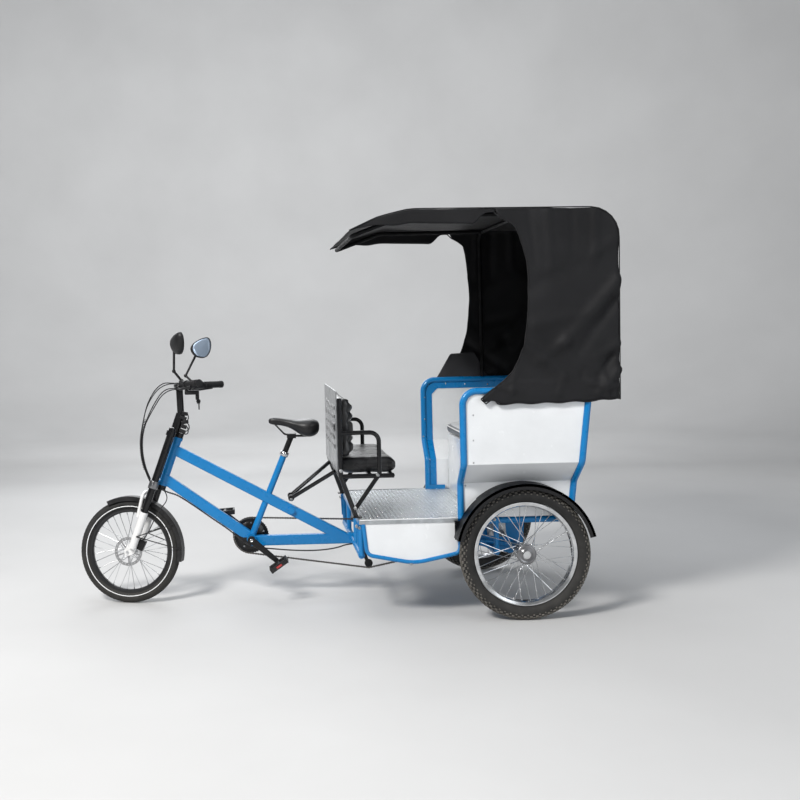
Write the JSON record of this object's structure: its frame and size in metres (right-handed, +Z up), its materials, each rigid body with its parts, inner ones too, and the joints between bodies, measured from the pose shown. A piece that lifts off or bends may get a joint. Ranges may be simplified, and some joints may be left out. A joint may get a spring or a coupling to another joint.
{
  "type": "cycle rickshaw",
  "caption": "Pedal cycle rickshaw with a flared two-seat passenger body, canvas hood with visor, rear-facing bench and a suspension front fork.",
  "frame": {"origin": "bottom centre of the bounding box, on the ground", "axes": "+X to the front of the vehicle, +Y to its left, +Z up; steering rests 11 degrees to the right"},
  "size_m": [2.5285, 1.112, 1.8584],
  "materials": {
    "blue_paint": "gloss blue paint",
    "black_paint": "semi-gloss black paint",
    "white_paint": "gloss white paint",
    "grey_paint": "satin grey paint",
    "chrome": "polished",
    "black_rim": "black anodised with bright spokes",
    "steel": "brushed",
    "checker": "bright rolled checker plate",
    "tyre": "matte",
    "rubber": "matte",
    "canvas": "black coated canvas",
    "vinyl": "black vinyl",
    "grey_vinyl": "light grey vinyl",
    "black_plastic": "matte black",
    "mirror": "silvered"
  },
  "bodies": {
    "chassis": {"apron_trim": "blue_paint", "bench_back_cushion": "vinyl", "bench_board": "grey_paint", "bench_frame": "black_paint", "bench_seat_cushion": "vinyl", "bench_struts": "black_paint", "chain": "steel", "chain_tensioner": "black_paint", "down_tube": "blue_paint", "floor_frame": "blue_paint", "floor_plate": "checker", "head_tube": "blue_paint", "hood_canvas": "canvas", "hood_front_hoop": "black_paint", "hood_rear_hoop": "black_paint", "left_body_frame": "blue_paint", "left_side_panel": "white_paint", "passenger_backrest": "grey_vinyl", "passenger_cushion": "grey_vinyl", "rear_axle": "steel", "rear_body_bars": "blue_paint", "rear_mudguards": "black_plastic", "rear_panel": "white_paint", "right_body_frame": "blue_paint", "right_side_panel": "white_paint", "saddle": "vinyl", "seat_base": "white_paint", "seat_post": "black_paint", "seat_tube": "blue_paint", "side_aprons": "white_paint", "spine_tube": "blue_paint", "top_tube": "blue_paint", "visor_frame": "black_paint"},
    "steering": {"fork_uppers": "black_paint", "fork_lowers": "white_paint", "handlebar": "black_paint", "grips": "rubber", "bar_controls": "black_plastic", "mirror_housings": "black_plastic", "mirror_glasses": "mirror", "front_mudguard": "black_plastic", "brake_caliper": "black_paint", "cable_bundle": "rubber"},
    "front_wheel": {"front_tyre": "tyre", "front_wheel": "black_rim", "brake_disc": "steel"},
    "left_wheel": {"left_rear_tyre": "tyre", "left_rear_wheel": "chrome"},
    "right_wheel": {"right_rear_tyre": "tyre", "right_rear_wheel": "chrome"},
    "cranks": {"crankset": "black_paint"},
    "left_pedal_body": {"left_pedal": "black_plastic"},
    "right_pedal_body": {"right_pedal": "black_plastic"}
  },
  "joints": [
    {"name": "steer", "type": "hinge", "parent": "chassis", "child": "steering", "pos_m": [0.84834, 0, 0.57556], "axis": [-0.342, 0, 0.9397], "range_deg": [-34, 56]},
    {"name": "front_wheel_spin", "type": "hinge", "parent": "steering", "child": "front_wheel", "pos_m": [1.0139, -0.00878, 0.25271], "axis": [0.1793, 0.9816, 0.0653], "continuous": true},
    {"name": "left_wheel_spin", "type": "hinge", "parent": "chassis", "child": "left_wheel", "pos_m": [-0.81931, 0.494, 0.296], "axis": [0, 1, 0], "continuous": true},
    {"name": "right_wheel_spin", "type": "hinge", "parent": "chassis", "child": "right_wheel", "pos_m": [-0.81931, -0.494, 0.296], "axis": [0, 1, 0], "continuous": true},
    {"name": "crank_spin", "type": "hinge", "parent": "chassis", "child": "cranks", "pos_m": [0.41369, 0, 0.303], "axis": [0, 1, 0], "continuous": true},
    {"name": "left_pedal_spin", "type": "hinge", "parent": "cranks", "child": "left_pedal_body", "pos_m": [0.28347, 0.078, 0.19373], "axis": [0, 1, 0], "continuous": true},
    {"name": "right_pedal_spin", "type": "hinge", "parent": "cranks", "child": "right_pedal_body", "pos_m": [0.54392, -0.078, 0.41227], "axis": [0, 1, 0], "continuous": true}
  ]
}
